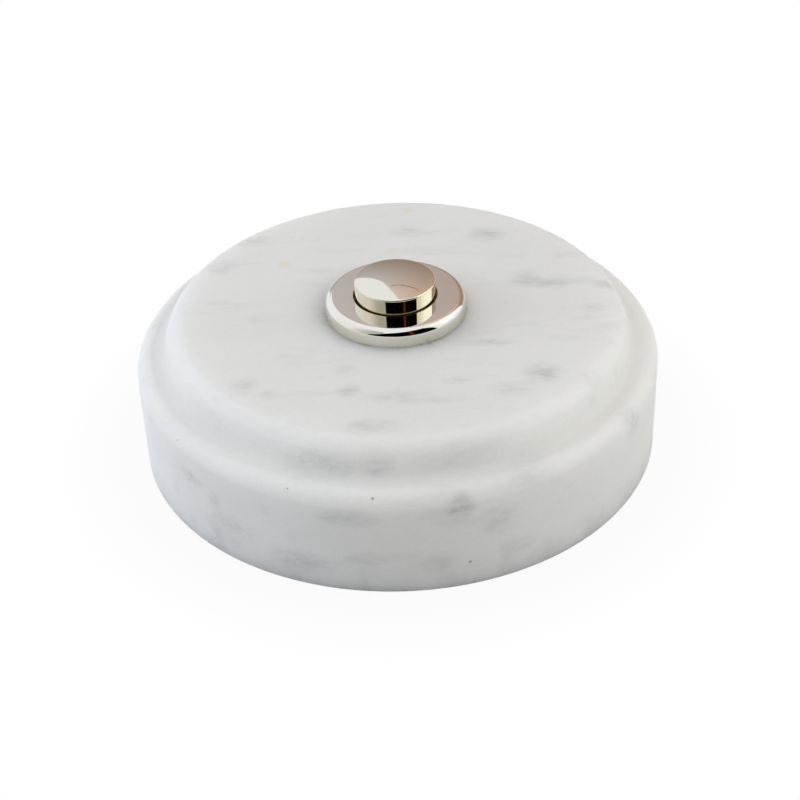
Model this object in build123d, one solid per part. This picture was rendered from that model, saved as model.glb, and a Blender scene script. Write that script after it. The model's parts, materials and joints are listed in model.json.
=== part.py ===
from build123d import *
import math
import os

# Doorbell push button. A turned marble base carries a metal bezel, whose barrel passes through the stone
# and is clamped from behind. The button slides in the bezel on a coil spring and bridges two contacts.
# Millimetres. +Z points out of the wall along the button's axis. The origin is the centre of the back.

# Marble base
base_diameter = 90.0
base_height = 25.0
foot_chamfer = 0.5
outer_edge_radius = 2.8
ledge_width = 0.1
step_depth = 5.6  # from the top face down to the ledge
cove_radius = 2.3
riser_slope = 72.0  # degrees above the horizontal
top_edge_radius = 3.0
web_thickness = 11.0  # stone between the top face and the pocket behind
bore_clearance = 0.25
pocket_room = 4.15  # round the cushion washer

# Fixing inserts in the back of the stone
insert_diameter = 6.0
insert_length = 9.0
insert_bore = 3.3
insert_band = 2.5  # gripping band at each end
insert_waist_depth = 0.4
insert_fit = 0.05
insert_hole_rest = 1.0  # hole left beyond the insert

# Button
button_diameter = 13.8
button_projection = 2.85  # rim above the flange
button_dome = 0.35
button_edge_radius = 0.25
button_wall = 1.9
crown_thickness = 1.6
collar_width = 1.1
collar_thickness = 1.5
button_travel = 1.8
collar_play = 0.05  # under the lip at rest
stop_play = 0.1  # over the guide plate at full travel
boss_wall = 1.0
socket_depth = 3.0

# Bezel
lip_clearance = 0.3
lip_thickness = 2.2
collar_clearance = 0.1
shoulder_width = 0.5
barrel_wall = 1.2
barrel_tail = 1.2  # below the nut
flange_overhang = 2.3
flange_thickness = 3.0
flange_edge_radius = 1.3

# Seal under the flange
seal_margin = 0.6  # from the flange's rim
seal_width = 1.0
seal_thickness = 0.7
seal_clearance = 0.05

# Clamp behind the stone
cushion_width = 6.0
cushion_thickness = 1.0
washer_width = 5.0
washer_thickness = 1.0
nut_wall = 3.0
nut_thickness = 3.0
nut_chamfer_angle = 30.0
thread_clearance = 0.05

# Stem and what it carries
stem_diameter = 2.4
stem_fit = 0.02
stem_step = 0.3  # shoulder that the bush seats on
bush_wall = 0.45
bush_flange_thickness = 0.8
bush_clearance = 0.05
bush_gap = 0.5  # under the guide plate at rest
bridge_thickness = 0.6
bridge_overlap = 0.3  # past the contacts
bridge_washer_thickness = 0.8
clip_thickness = 0.5
clip_groove_depth = 0.25
clip_bow_gap = 0.25
clip_width = 1.1
clip_tab_width = 0.8
clip_play = 0.03
clip_land = 0.8  # stem below the clip

# Return spring
spring_wire = 0.6
spring_turns = 4.0
spring_wire_sides = 8  # flats on the modelled wire
spring_seat_depth = 0.5
spring_side_room = 0.3
spring_end_gap = 0.02

# Guide plate and switch cup
guide_thickness = 2.0
guide_clearance = 0.08
spigot_depth = 0.8
cup_clearance = 0.05
cup_wall = 1.2
cup_floor = 3.0
floor_gap = 0.3  # under the stem at full travel

# Contacts and terminals
post_flange_diameter = 4.6
post_flange_thickness = 0.6
post_shank_diameter = 3.8
post_nose_diameter = 2.4
post_nose_chamfer = 0.4
post_fit = 0.03
post_side_gap = 0.15
contact_gap = 0.05  # left at full travel
contact_side_gap = 0.5
terminal_thread = 2.5
terminal_washer_diameter = 4.6
terminal_washer_thickness = 0.8
terminal_washer_clearance = 0.2
screw_head_diameter = 4.2
screw_head_height = 1.5
screw_head_chamfer = 0.3
screw_slot_width = 0.7
screw_slot_depth = 0.8
screw_tip_gap = 0.5

# Circlip that keeps the cup in the barrel
circlip_thickness = 1.0
circlip_width = 1.6
circlip_groove_depth = 0.5
circlip_play = 0.03
circlip_land = 0.8  # barrel below the groove
circlip_gap_angle = 36.0
circlip_lug_diameter = 2.2
circlip_lug_hole = 1.0

# Radii, from the button outwards
button_radius = button_diameter / 2
lip_radius = button_radius + lip_clearance
collar_radius = button_radius + collar_width
slide_radius = collar_radius + collar_clearance
switch_radius = slide_radius + shoulder_width
barrel_radius = switch_radius + barrel_wall
flange_radius = barrel_radius + flange_overhang
stone_bore_radius = barrel_radius + bore_clearance
cushion_radius = stone_bore_radius + cushion_width
pocket_radius = cushion_radius + pocket_room
base_radius = base_diameter / 2

# Radii, from the button inwards
stem_radius = stem_diameter / 2
socket_radius = stem_radius + stem_fit
boss_radius = socket_radius + boss_wall
spring_pocket_radius = button_radius - button_wall
spring_radius = (boss_radius + spring_pocket_radius) / 2
tail_radius = stem_radius - stem_step
clip_groove_radius = tail_radius - clip_groove_depth
bush_bore_radius = tail_radius + bush_clearance
bush_radius = bush_bore_radius + bush_wall

# Switch
cup_radius = switch_radius - cup_clearance
cup_bore_radius = cup_radius - cup_wall
post_offset = cup_bore_radius - post_side_gap - post_flange_diameter / 2
nose_radius = post_nose_diameter / 2
bush_flange_radius = post_offset - nose_radius - contact_side_gap
bridge_radius = post_offset + nose_radius + bridge_overlap
tapping_radius = terminal_thread / 2 + post_fit
groove_radius = switch_radius + circlip_groove_depth
insert_offset = (pocket_radius + base_radius) / 2

# Heights of the base and the button, from the stone's top face
flange_top = base_height + flange_thickness
rim_height = flange_top + button_projection
lip_height = flange_top - lip_thickness
collar_top = lip_height - collar_play
collar_bottom = collar_top - collar_thickness
pocket_ceiling = rim_height - crown_thickness
socket_top = collar_bottom + socket_depth
ledge_height = base_height - step_depth

# Heights of the switch, downwards from the stop
guide_top = collar_bottom - button_travel - stop_play
guide_bottom = guide_top - guide_thickness
spigot_bottom = guide_bottom - spigot_depth
bush_top = spigot_bottom - bush_gap
bridge_top = bush_top - bush_flange_thickness
bridge_bottom = bridge_top - bridge_thickness
clip_top = bridge_bottom - bridge_washer_thickness
clip_bottom = clip_top - clip_thickness
stem_end = clip_bottom - clip_play - clip_land
contact_height = bridge_bottom - button_travel - contact_gap
floor_top = stem_end - button_travel - floor_gap
cup_bottom = floor_top - cup_floor
circlip_bottom = cup_bottom - circlip_thickness
terminal_height = cup_bottom - terminal_washer_thickness

# Heights of the clamp, downwards from the stone's web
web_bottom = base_height - web_thickness
cushion_bottom = web_bottom - cushion_thickness
nut_top = cushion_bottom - washer_thickness
nut_bottom = nut_top - nut_thickness
barrel_end = min(nut_bottom - barrel_tail, circlip_bottom - circlip_play - circlip_land)


def turned(corners, rounding=0):
    """Turn a closed outline of (radius, height) corners about Z, each rounded by its own radius."""
    outline = FilletPolyline(*corners, radius=rounding, close=True)
    return revolve(make_face(Plane.XZ * outline), Axis.Z)


def ring(inner, outer, bottom, top):
    """A plain washer between two radii and two heights."""
    return turned([(inner, bottom), (outer, bottom), (outer, top), (inner, top)])


def slab(sketch, bottom, thickness):
    """A flat sketch given a thickness above a height."""
    return Pos(0, 0, bottom) * extrude(sketch, thickness)


def marble_base():
    # The ledge runs from the outer edge's rounding to the foot of the cove, and the riser leans inwards.
    slope = math.radians(riser_slope)
    riser_foot = base_radius - outer_edge_radius - ledge_width - cove_radius * math.tan(slope / 2)
    riser_head = riser_foot - step_depth / math.tan(slope)
    stone = turned(
        [
            (pocket_radius, 0),
            (base_radius - foot_chamfer, 0),
            (base_radius, foot_chamfer),
            (base_radius, ledge_height),
            (riser_foot, ledge_height),
            (riser_head, base_height),
            (stone_bore_radius, base_height),
            (stone_bore_radius, web_bottom),
            (pocket_radius, web_bottom),
        ],
        [0, 0, 0, outer_edge_radius, cove_radius, top_edge_radius, 0, 0, 0],
    )
    hole = ring(0, insert_diameter / 2 + insert_fit, 0, insert_length + insert_hole_rest)
    return stone - [Pos(x, 0, 0) * hole for x in (-insert_offset, insert_offset)]


def fixing_insert():
    radius = insert_diameter / 2
    waist = radius - insert_waist_depth
    bore = insert_bore / 2
    return turned(
        [
            (bore, 0),
            (radius, 0),
            (radius, insert_band),
            (waist, insert_band),
            (waist, insert_length - insert_band),
            (radius, insert_length - insert_band),
            (radius, insert_length),
            (bore, insert_length),
        ]
    )


def bezel():
    # Flange, lip, sliding bore, shoulder, switch bore and barrel are one turned piece.
    seal_outer = flange_radius - seal_margin
    body = turned(
        [
            (lip_radius, lip_height),
            (slide_radius, lip_height),
            (slide_radius, guide_top),
            (switch_radius, guide_top),
            (switch_radius, barrel_end),
            (barrel_radius, barrel_end),
            (barrel_radius, base_height),
            (flange_radius, base_height),
            (flange_radius, flange_top),
            (lip_radius, flange_top),
        ],
        [0, 0, 0, 0, 0, 0, 0, 0, flange_edge_radius, 0],
    )
    seal_groove = ring(
        seal_outer - seal_width - 2 * seal_clearance, seal_outer, base_height, base_height + seal_thickness
    )
    clip_groove = ring(switch_radius, groove_radius, circlip_bottom - circlip_play, cup_bottom)
    return body - seal_groove - clip_groove


def bezel_seal():
    outer = flange_radius - seal_margin - seal_clearance
    return ring(outer - seal_width, outer, base_height, base_height + seal_thickness)


def cushion_washer():
    return ring(stone_bore_radius, cushion_radius, cushion_bottom, web_bottom)


def clamp_washer():
    return ring(stone_bore_radius, stone_bore_radius + washer_width, nut_top, cushion_bottom)


def clamp_nut():
    # The corners of the hexagon are turned down to the flats at both faces.
    flat = barrel_radius + nut_wall
    corner = flat / math.cos(math.pi / 6)
    chamfer = (corner - flat) * math.tan(math.radians(nut_chamfer_angle))
    hexagon = RegularPolygon(flat, 6, major_radius=False) - Circle(barrel_radius + thread_clearance)
    envelope = turned(
        [
            (0, nut_bottom),
            (flat, nut_bottom),
            (corner, nut_bottom + chamfer),
            (corner, nut_top - chamfer),
            (flat, nut_top),
            (0, nut_top),
        ]
    )
    return slab(hexagon, nut_bottom, nut_thickness) & envelope


def button():
    # A hollow cap: a slightly domed crown, a collar below the lip and a boss for the stem.
    side = Polyline(
        (0, rim_height + button_dome),
        (0, socket_top),
        (socket_radius, socket_top),
        (socket_radius, collar_bottom),
        (boss_radius, collar_bottom),
        (boss_radius, pocket_ceiling),
        (spring_pocket_radius, pocket_ceiling),
        (spring_pocket_radius, collar_bottom),
        (collar_radius, collar_bottom),
        (collar_radius, collar_top),
        (button_radius, collar_top),
        (button_radius, rim_height),
    )
    crown = TangentArc((0, rim_height + button_dome), (button_radius, rim_height), tangent=(1, 0))
    section = make_face(side + crown)
    rim = section.vertices().sort_by_distance((button_radius, rim_height, 0))[0]
    return revolve(Plane.XZ * fillet(rim, button_edge_radius), Axis.Z)


def stem():
    return turned(
        [
            (0, stem_end),
            (tail_radius, stem_end),
            (tail_radius, clip_bottom - clip_play),
            (clip_groove_radius, clip_bottom - clip_play),
            (clip_groove_radius, clip_top),
            (tail_radius, clip_top),
            (tail_radius, bush_top),
            (stem_radius, bush_top),
            (stem_radius, socket_top),
            (0, socket_top),
        ]
    )


def return_spring():
    # The wire's centre line stays half a wire inside both seats.
    start = guide_top - spring_seat_depth + spring_wire / 2 + spring_end_gap
    end = pocket_ceiling - spring_wire / 2 - spring_end_gap
    path = Helix((end - start) / spring_turns, end - start, spring_radius)
    wire = Plane(path @ 0, z_dir=path % 0) * RegularPolygon(spring_wire / 2, spring_wire_sides)
    return Pos(0, 0, start) * sweep(wire, path=path, is_frenet=True)


def guide_plate():
    hole = stem_radius + guide_clearance
    seat_half = spring_wire / 2 + spring_side_room
    seat_bottom = guide_top - spring_seat_depth
    return turned(
        [
            (hole, spigot_bottom),
            (cup_bore_radius - cup_clearance, spigot_bottom),
            (cup_bore_radius - cup_clearance, guide_bottom),
            (cup_radius, guide_bottom),
            (cup_radius, guide_top),
            (spring_radius + seat_half, guide_top),
            (spring_radius + seat_half, seat_bottom),
            (spring_radius - seat_half, seat_bottom),
            (spring_radius - seat_half, guide_top),
            (hole, guide_top),
        ]
    )


def stem_bush():
    sleeve_end = clip_top + bush_clearance
    return turned(
        [
            (bush_bore_radius, sleeve_end),
            (bush_radius, sleeve_end),
            (bush_radius, bridge_top),
            (bush_flange_radius, bridge_top),
            (bush_flange_radius, bush_top),
            (bush_bore_radius, bush_top),
        ]
    )


def contact_bridge():
    return ring(bush_radius + bush_clearance, bridge_radius, bridge_bottom, bridge_top)


def bridge_washer():
    return ring(bush_radius + bush_clearance, bush_flange_radius, clip_top, bridge_bottom)


def stem_clip():
    # An E-clip: a bow clear of the stem, three tabs in the groove and an open side.
    grip = clip_groove_radius + clip_play
    bow = tail_radius + clip_bow_gap
    outer = bow + clip_width
    tabs = Rectangle(2 * bow, clip_tab_width) + Pos(0, bow / 2) * Rectangle(clip_tab_width, bow)
    mouth = Pos(0, -outer / 2) * Rectangle(2 * grip, outer)
    shape = Circle(outer) - Circle(bow) + tabs - Circle(grip) - mouth
    return slab(shape, clip_bottom, clip_thickness)


def switch_cup():
    cup = turned(
        [
            (0, cup_bottom),
            (cup_radius, cup_bottom),
            (cup_radius, guide_bottom),
            (cup_bore_radius, guide_bottom),
            (cup_bore_radius, floor_top),
            (0, floor_top),
        ]
    )
    shank = post_shank_diameter / 2 + post_fit
    return cup - [Pos(x, 0, 0) * ring(0, shank, cup_bottom, floor_top) for x in (-post_offset, post_offset)]


def contact_post():
    flange = post_flange_diameter / 2
    flange_height = floor_top + post_flange_thickness
    shank = post_shank_diameter / 2
    return turned(
        [
            (0, floor_top),
            (tapping_radius, floor_top),
            (tapping_radius, cup_bottom),
            (shank, cup_bottom),
            (shank, floor_top),
            (flange, floor_top),
            (flange, flange_height),
            (nose_radius, flange_height),
            (nose_radius, contact_height - post_nose_chamfer),
            (nose_radius - post_nose_chamfer, contact_height),
            (0, contact_height),
        ]
    )


def terminal_washer():
    inner = terminal_thread / 2 + terminal_washer_clearance
    return ring(inner, terminal_washer_diameter / 2, terminal_height, cup_bottom)


def terminal_screw():
    head = screw_head_diameter / 2
    head_bottom = terminal_height - screw_head_height
    shank = terminal_thread / 2
    body = turned(
        [
            (0, head_bottom),
            (head - screw_head_chamfer, head_bottom),
            (head, head_bottom + screw_head_chamfer),
            (head, terminal_height),
            (shank, terminal_height),
            (shank, floor_top - screw_tip_gap),
            (0, floor_top - screw_tip_gap),
        ]
    )
    slot = Rectangle(2 * screw_head_diameter, screw_slot_width)
    return body - slab(slot, head_bottom, screw_slot_depth)


def cup_circlip():
    # An internal circlip with two pierced lugs beside its gap.
    outer = groove_radius - circlip_play
    inner = outer - circlip_width
    lug = circlip_lug_diameter / 2
    half_gap = math.radians(circlip_gap_angle / 2)
    reach = 2 * outer
    gap = make_face(
        Polyline(
            (0, 0),
            (reach * math.sin(half_gap), -reach * math.cos(half_gap)),
            (-reach * math.sin(half_gap), -reach * math.cos(half_gap)),
            close=True,
        )
    )
    turn = half_gap + math.asin(lug / inner)
    centres = [Pos(side * inner * math.sin(turn), -inner * math.cos(turn)) for side in (-1, 1)]
    shape = Circle(outer) - Circle(inner) - gap
    for centre in centres:
        shape = shape + centre * Circle(lug) - centre * Circle(circlip_lug_hole / 2)
    return slab(shape, circlip_bottom, circlip_thickness)


pieces = {
    "marble_base": marble_base(),
    "bezel": bezel(),
    "bezel_seal": bezel_seal(),
    "cushion_washer": cushion_washer(),
    "clamp_washer": clamp_washer(),
    "clamp_nut": clamp_nut(),
    "button": button(),
    "stem": stem(),
    "return_spring": return_spring(),
    "guide_plate": guide_plate(),
    "stem_bush": stem_bush(),
    "contact_bridge": contact_bridge(),
    "bridge_washer": bridge_washer(),
    "stem_clip": stem_clip(),
    "switch_cup": switch_cup(),
    "cup_circlip": cup_circlip(),
}
for side, direction in (("left", -1), ("right", 1)):
    at_post = Pos(direction * post_offset, 0, 0)
    pieces[f"contact_post_{side}"] = at_post * contact_post()
    pieces[f"terminal_washer_{side}"] = at_post * terminal_washer()
    pieces[f"terminal_screw_{side}"] = at_post * terminal_screw()
    pieces[f"fixing_insert_{side}"] = Pos(direction * insert_offset, 0, 0) * fixing_insert()

os.makedirs("parts", exist_ok=True)
for name, piece in pieces.items():
    export_step(piece, f"parts/{name}.step")
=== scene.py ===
import json
import math
from functools import partial

import bmesh
import bpy
from bpy.props import FloatProperty, FloatVectorProperty, IntProperty, PointerProperty
from mathutils import Matrix, Vector

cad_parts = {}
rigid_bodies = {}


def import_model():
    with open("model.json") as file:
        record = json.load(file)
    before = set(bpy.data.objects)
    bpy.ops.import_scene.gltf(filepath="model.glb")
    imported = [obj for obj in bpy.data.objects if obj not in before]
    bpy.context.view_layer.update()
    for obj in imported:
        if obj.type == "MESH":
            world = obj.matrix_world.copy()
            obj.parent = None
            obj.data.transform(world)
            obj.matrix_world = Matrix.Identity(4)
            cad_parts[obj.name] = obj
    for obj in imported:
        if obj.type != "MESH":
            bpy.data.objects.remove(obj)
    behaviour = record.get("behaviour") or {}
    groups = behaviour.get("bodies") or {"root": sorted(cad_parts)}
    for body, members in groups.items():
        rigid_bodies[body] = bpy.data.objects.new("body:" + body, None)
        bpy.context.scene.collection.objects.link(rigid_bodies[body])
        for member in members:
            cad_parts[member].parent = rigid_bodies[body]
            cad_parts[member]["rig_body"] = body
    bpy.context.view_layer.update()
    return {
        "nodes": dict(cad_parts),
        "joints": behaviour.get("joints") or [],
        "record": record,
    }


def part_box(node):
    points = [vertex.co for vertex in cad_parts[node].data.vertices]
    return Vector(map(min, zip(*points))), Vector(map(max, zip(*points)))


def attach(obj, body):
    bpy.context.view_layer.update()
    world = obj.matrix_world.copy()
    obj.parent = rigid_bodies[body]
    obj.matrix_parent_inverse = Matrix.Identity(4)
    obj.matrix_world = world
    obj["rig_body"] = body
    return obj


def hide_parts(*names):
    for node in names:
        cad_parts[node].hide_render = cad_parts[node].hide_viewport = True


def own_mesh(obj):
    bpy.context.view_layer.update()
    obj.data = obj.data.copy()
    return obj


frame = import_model()

bl_info = {
    "name": "Marble bell push",
    "version": (1, 0, 0),
    "blender": (4, 5, 0),
    "location": "View3D > Sidebar > Bell push",
    "description": "Models and finishes a turned marble bell push round its packed solids",
    "category": "Object",
}

MM = 0.001
MERGE = 0.001 * MM  # points closer than this are one point

# Degrees that a surface turns by before its edge is shown sharp
TURNED_EDGES = 35.0
SLOTTED_EDGES = 25.0
FACETED_EDGES = 20.0

# Smudges on the top face, in millimetres: place, half length, half breadth, and then the depth of grey
TOP_SMUDGES = (
    (17, 24, 3.0, 2.2, 0.34),
    (2.5, 26, 3.0, 1.8, 0.22),
    (23, 8, 2.6, 2.6, 0.26),
    (27.5, 6.5, 3.6, 1.6, 0.20),
    (37, 5.5, 2.0, 1.4, 0.22),
    (34, -2, 2.0, 1.4, 0.20),
    (36, -7.5, 2.6, 1.0, 0.12),
    (15.5, -11.5, 4.2, 1.0, 0.26),
    (23.5, -21, 3.0, 2.6, 0.36),
    (18.5, -25.5, 3.6, 1.8, 0.16),
    (-8, -24, 1.8, 1.8, 0.28),
    (-8.5, -18, 2.0, 1.8, 0.14),
    (-1.5, -26, 4.0, 1.4, 0.20),
    (5, -27.5, 5.0, 0.9, 0.16),
    (9.5, -22, 2.2, 1.0, 0.14),
    (-4.5, -34, 4.2, 1.8, 0.24),
    (-25, -21.5, 2.0, 2.0, 0.22),
    (-21, -24.5, 2.0, 1.4, 0.12),
    (-14, 13.5, 3.0, 0.9, 0.14),
    (-26, 25, 3.4, 2.2, 0.22),
    (-31, 16, 2.6, 2.2, 0.22),
    (31.5, 15.5, 3.0, 1.2, 0.14),
    (31.5, -22.5, 2.4, 2.0, 0.14),
)
# Smudges round the side: degrees from the front, millimetres out, up, half length, half height, depth of grey
SIDE_SMUDGES = (
    (-18, 40, 21, 6.0, 1.8, 0.24),
    (-5, 40, 21.5, 2.2, 1.8, 0.24),
    (12, 40, 21.5, 6.0, 1.6, 0.12),
    (11.5, 45, 16.5, 2.2, 2.2, 0.42),
    (19.5, 45, 12, 2.8, 2.6, 0.18),
    (23, 45, 6, 3.0, 2.0, 0.18),
    (26, 44, 18.5, 4.2, 1.8, 0.16),
    (-11.5, 45, 15, 5.2, 1.4, 0.24),
    (-49, 45, 13, 2.4, 1.2, 0.24),
    (-42.5, 45, 11, 1.4, 1.6, 0.18),
    (-37, 45, 7.5, 4.2, 1.6, 0.22),
    (-21, 45, 5, 5.0, 2.0, 0.26),
    (-8, 45, 7, 4.2, 1.6, 0.18),
    (7, 45, 6, 3.0, 2.0, 0.16),
    (58, 45, 17, 2.4, 3.2, 0.26),
    (104, 45, 9, 4.6, 2.0, 0.2),
    (131, 45, 14, 3.2, 1.8, 0.22),
    (158, 40, 21, 5.4, 1.6, 0.18),
    (172, 45, 7, 4.8, 1.6, 0.24),
    (203, 45, 13, 3.4, 2.2, 0.2),
    (241, 45, 8, 4.0, 1.8, 0.18),
    (262, 44, 18, 3.0, 1.6, 0.18),
)
# Open pits round the side, dented and darkened with painted shade: degrees from the front, then millimetres
# out, up and radius
PITS = (
    (-6, 44.1, 18.6, 0.34),
    (13.2, 45, 5.1, 0.36),
    (-23.7, 44.2, 18.5, 0.2),
    (30.3, 40.7, 19.4, 0.24),
    (-53.9, 44.6, 18.1, 0.17),
)
# Faint rust-coloured marks on the top face, in millimetres: place and radius
STAINS = (
    (-19.5, 16, 1.5),
    (0, 19.5, 1.1),
    (3, 34, 1.5),
)


def length(name, description, size):
    """A length property whose default is given in millimetres."""
    return FloatProperty(name=name, description=description, default=size * MM, unit="LENGTH", precision=5)


def position(name, description, place):
    """A place property, given in metres."""
    return FloatVectorProperty(
        name=name, description=description, default=place, subtype="TRANSLATION", unit="LENGTH", size=3
    )


def tint(name, description, colour):
    """A colour property."""
    return FloatVectorProperty(
        name=name, description=description, default=colour, subtype="COLOR", size=3, min=0.0, max=1.0
    )


def share(name, description, default):
    """A property between nought and one."""
    return FloatProperty(
        name=name, description=description, default=default, min=0.0, max=1.0, subtype="FACTOR"
    )


def angle(name, description, degrees):
    """An angle property whose default is given in degrees."""
    return FloatProperty(name=name, description=description, default=math.radians(degrees), subtype="ANGLE")


def power(name, description, watts):
    """The power property of a lamp."""
    return FloatProperty(name=name, description=description, default=watts, unit="POWER")


def count(name, description, default, least=1):
    """A property that counts facets, rings or turns."""
    return IntProperty(name=name, description=description, default=default, min=least)


class StoneSettings(bpy.types.PropertyGroup):
    """Profile and colours of the turned stone."""

    segments: count("Segments", "Facets round the stone", 256, 24)
    foot_chamfer: length("Foot chamfer", "Bevel round the back edge", 0.5)
    foot_steps: count("Foot steps", "Facets over the back edge", 3)
    edge_radius: length("Edge radius", "Rounding of the outer edge", 2.8)
    edge_steps: count("Edge steps", "Facets over the outer edge", 14)
    ledge_width: length("Ledge width", "Flat between the outer edge and the cove", 0.1)
    step_depth: length("Step depth", "From the top face down to the ledge", 5.6)
    cove_radius: length("Cove radius", "Hollow at the foot of the riser", 2.3)
    cove_steps: count("Cove steps", "Facets over the hollow", 12)
    riser_slope: angle("Riser slope", "Lean of the riser above the horizontal", 72.0)
    top_radius: length("Top radius", "Rounding of the top edge", 3.0)
    top_steps: count("Top steps", "Facets over the top edge", 12)
    insert_fit: length("Insert fit", "Room round each fixing insert", 0.05)
    insert_rest: length("Insert rest", "Hole left beyond each fixing insert", 1.0)
    insert_segments: count("Insert segments", "Facets round each insert's hole", 48, 12)
    ground: tint("Ground", "Body colour of the stone", (0.84, 0.845, 0.835))
    # The vein colour is also the colour of the painted shade at the foot, in the pits and on the chipped foot
    # edge
    vein: tint("Vein", "Colour of the grey smudges", (0.385, 0.40, 0.415))
    stain: tint("Stain", "Colour of the faint rust marks", (0.80, 0.74, 0.56))
    streaks: share("Streaks", "Depth of the faint grey streaks", 0.12)
    clouds: share("Clouds", "Depth of the broad grey clouds", 0.06)
    crystals: share("Crystals", "How far the crystals differ in grey", 0.05)
    roughness: share("Roughness", "Honed finish of the stone", 0.42)
    translucency: share("Translucency", "How much of the light goes into the stone", 1.0)
    scatter: length("Scatter", "How far light spreads inside the stone", 7.0)


class BezelSettings(bpy.types.PropertyGroup):
    """Turned details of the bezel that its packed box doesn't give."""

    segments: count("Segments", "Facets round the bezel", 192, 24)
    rim_height: length("Rim height", "Height of the flange's rounded rim", 1.4)
    rim_breadth: length("Rim breadth", "Breadth of the flange's rounded rim", 1.3)
    rim_steps: count("Rim steps", "Facets over the rounded rim", 24, 4)
    lip_thickness: length("Lip thickness", "Lip that the button's collar meets", 2.2)
    lip_rounding: length("Lip rounding", "Broken edge round the button", 0.1)
    lip_steps: count("Lip steps", "Facets over the broken edge", 6)
    collar_clearance: length("Collar clearance", "Room round the button's collar", 0.1)
    cup_clearance: length("Cup clearance", "Room round the switch cup", 0.05)
    clip_play: length("Clip play", "Room round the circlip in its groove", 0.03)
    seal_clearance: length("Seal clearance", "Room on each side of the seal", 0.05)
    thread_pitch: length("Thread pitch", "Spacing of the barrel's thread", 1.0)
    thread_depth: length("Thread depth", "Depth of the barrel's thread", 0.4)
    thread_clearance: length("Thread clearance", "Room between barrel and nut", 0.05)
    plate: tint("Plate", "Colour of the bright plate", (0.80, 0.80, 0.785))
    # Painted reflection: this warm tint stands in for what the flange's foot mirrors
    painted_foot_reflection: tint("Foot plate", "Colour of the plate at the flange's foot", (0.80, 0.77, 0.68))
    bare: tint("Bare bore", "Colour of the unplated bore round the button", (0.75, 0.63, 0.36))


class ButtonSettings(bpy.types.PropertyGroup):
    """Turned details of the button that its packed box doesn't give."""

    segments: count("Segments", "Facets round the button", 192, 24)
    dome_rings: count("Dome rings", "Steps from the rim to the crown's middle", 16, 4)
    lip_clearance: length("Lip clearance", "Gap between button and lip", 0.3)
    dome: length("Dome", "Rise of the crown above its rim", 0.35)
    rim_rounding: length("Rim rounding", "Rounding of the crown's rim", 0.3)
    rim_steps: count("Rim steps", "Facets over the crown's rim", 8)
    wall: length("Wall", "Thickness of the button's side", 1.9)
    crown_thickness: length("Crown thickness", "Metal above the spring", 1.6)
    collar_thickness: length("Collar thickness", "Height of the collar", 1.5)
    boss_wall: length("Boss wall", "Metal round the stem's socket", 1.0)
    stem_fit: length("Stem fit", "Room round the stem in its socket", 0.02)
    plate: tint("Plate", "Colour of the bright plate", (0.77, 0.77, 0.71))
    side_plate: tint("Side plate", "Colour of the plate on the button's side", (0.76, 0.735, 0.62))


class WorksSettings(bpy.types.PropertyGroup):
    """Details of the pieces behind the stone."""

    segments: count("Segments", "Facets round each small piece", 96, 24)
    edge_steps: count("Edge steps", "Facets over a broken edge", 2)
    spring_wire: length("Spring wire", "Thickness of the spring's wire", 0.6)
    spring_turns: count("Spring turns", "Turns of the return spring", 4)
    spring_steps: count("Spring steps", "Facets along each turn of the spring", 48, 12)
    wire_segments: count("Wire segments", "Facets round the spring's wire", 16, 6)
    nut_chamfer: angle("Nut chamfer", "Angle of the nut's turned corners", 30.0)
    nut_spare: length("Nut spare", "How far the nut's blank stands past its finished faces", 0.2)
    head_height: length("Head height", "Height of each terminal screw's head", 1.5)
    head_rounding: length("Head rounding", "Rounded edge of each screw head", 0.3)
    head_steps: count("Head steps", "Facets over the head's rounded edge", 6)
    shank_diameter: length("Shank diameter", "Thread of each terminal screw", 2.5)
    slot_width: length("Slot width", "Width of the screwdriver slot", 0.7)
    slot_depth: length("Slot depth", "Depth of the screwdriver slot", 0.8)
    insert_columns: count("Insert columns", "Facets round an insert, every other one a flute", 48, 12)
    insert_band: length("Insert band", "Knurled band at each end of an insert", 2.5)
    insert_waist: length("Insert waist", "Depth of the waist between the bands", 0.4)
    insert_knurl: length("Insert knurl", "Depth of the knurled flutes", 0.15)
    insert_pitch: length("Insert pitch", "Spacing of the thread in an insert", 0.7)
    insert_thread: length("Insert thread", "Depth of the thread in an insert", 0.2)


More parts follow.
